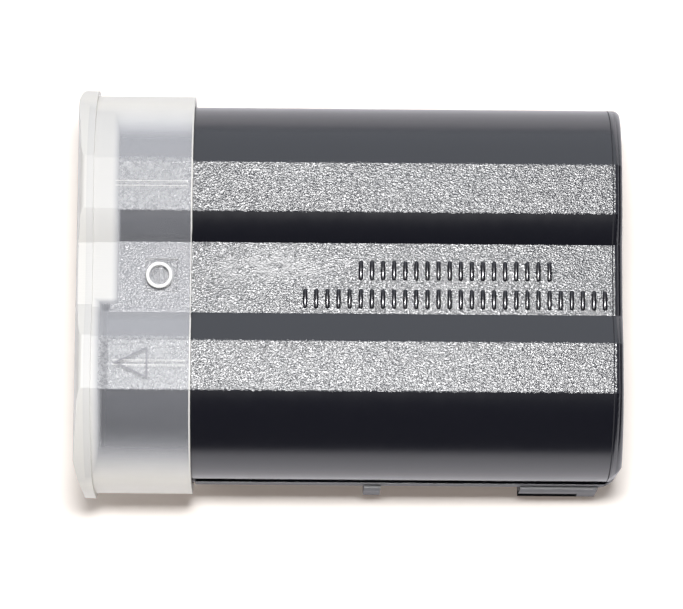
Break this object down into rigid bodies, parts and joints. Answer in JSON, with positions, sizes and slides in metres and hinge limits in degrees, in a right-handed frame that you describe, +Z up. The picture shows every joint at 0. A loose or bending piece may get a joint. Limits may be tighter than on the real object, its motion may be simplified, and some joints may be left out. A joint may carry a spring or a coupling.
{
  "type": "camera battery",
  "caption": "Rechargeable camera battery pack with a lobed black housing, textured flats and a frosted slip-on cover over its terminals.",
  "frame": {"origin": "middle of the footprint, on the surface that the pack lies on", "axes": "+X towards the closed end, -X towards the terminals and the cover, +Z up through the lobed face"},
  "size_m": [0.0575, 0.0428, 0.0239],
  "materials": {
    "moulded_black": "satin black moulded plastic with spark-eroded texture on the flats",
    "frosted_cover": "frosted translucent polypropylene",
    "cell_can": "nickel plated",
    "cell_sleeve": "shrink film",
    "insulating_paper": "calendered insulating paper",
    "nickel_strip": "rolled nickel",
    "circuit_board": "solder mask",
    "chip_black": "moulded epoxy",
    "chip_ceramic": "fired ceramic",
    "contact_gold": "gold plated",
    "foam_pad": "closed-cell foam"
  },
  "bodies": {
    "pack": {"upper_shell": "moulded_black", "lower_shell": "moulded_black", "cell_a": "cell_can", "cell_b": "cell_can", "cell_sleeve_a": "cell_sleeve", "cell_sleeve_b": "cell_sleeve", "insulator_ring_a": "insulating_paper", "insulator_ring_b": "insulating_paper", "link_insulator": "insulating_paper", "base_insulator": "insulating_paper", "tab_insulator": "insulating_paper", "series_link": "nickel_strip", "positive_tab": "nickel_strip", "negative_tab": "nickel_strip", "midpoint_tab": "nickel_strip", "protection_board": "circuit_board", "protection_ic": "chip_black", "switch_transistors": "chip_black", "thermistor": "chip_black", "board_resistors": "chip_ceramic", "board_capacitors": "chip_ceramic", "chip_fuse": "chip_ceramic", "contact_positive": "contact_gold", "contact_signal": "contact_gold", "contact_negative": "contact_gold", "adhesive_pad_a": "foam_pad", "adhesive_pad_b": "foam_pad"},
    "cover": {"terminal_cover": "frosted_cover"}
  },
  "joints": [
    {"name": "cover_slide", "type": "slide", "parent": "pack", "child": "cover", "axis": [-1, 0, 0], "range_m": [0, 0.014]}
  ]
}
